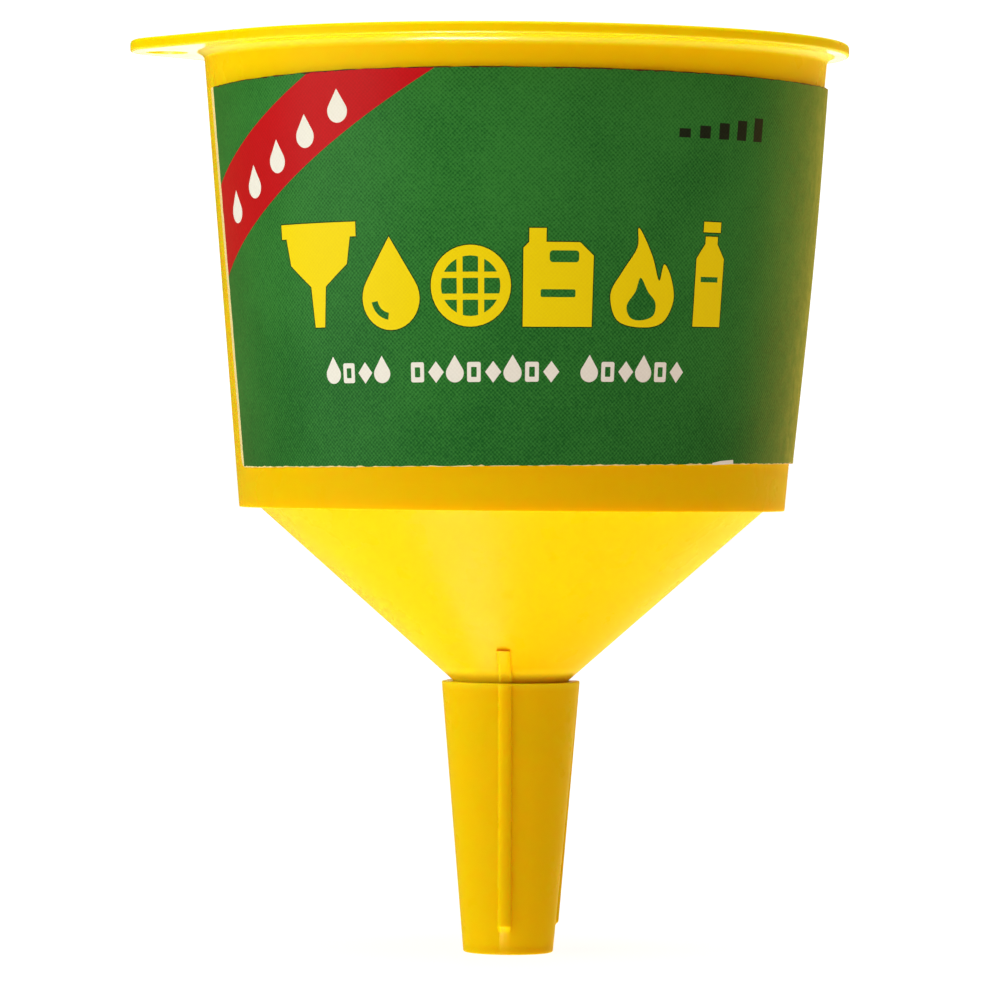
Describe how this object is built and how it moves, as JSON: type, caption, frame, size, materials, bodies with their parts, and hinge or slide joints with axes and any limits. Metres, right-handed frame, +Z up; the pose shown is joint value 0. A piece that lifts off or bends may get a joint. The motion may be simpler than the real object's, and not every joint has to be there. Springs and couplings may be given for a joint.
{
  "type": "funnel",
  "caption": "Round filling funnel with a flanged bowl, hanging ear, stepped cone, ribbed tapered spout, wrap-round label and a lift-out wire strainer screen.",
  "frame": {"origin": "centre of the spout's tip", "axes": "+Z up along the funnel's axis, out of the bowl's mouth; the hanging ear points to -X; the printed front faces -Y"},
  "size_m": [0.0904, 0.0838, 0.1143],
  "materials": {
    "body_plastic": "satin, slightly translucent polyethylene",
    "screen_wire": "drawn wire, lightly dulled",
    "label_print": "satin printed paper"
  },
  "bodies": {
    "funnel": {"funnel_bowl": "body_plastic", "spout_sleeve": "body_plastic", "label": "label_print"},
    "strainer": {"strainer_frame": "body_plastic", "screen_weft_wires": "screen_wire", "screen_warp_wires": "screen_wire", "strainer_clamp_ring": "body_plastic"}
  },
  "joints": [
    {"name": "strainer_lift", "type": "slide", "parent": "funnel", "child": "strainer", "axis": [0, 0, 1], "range_m": [0, 0.065]}
  ]
}
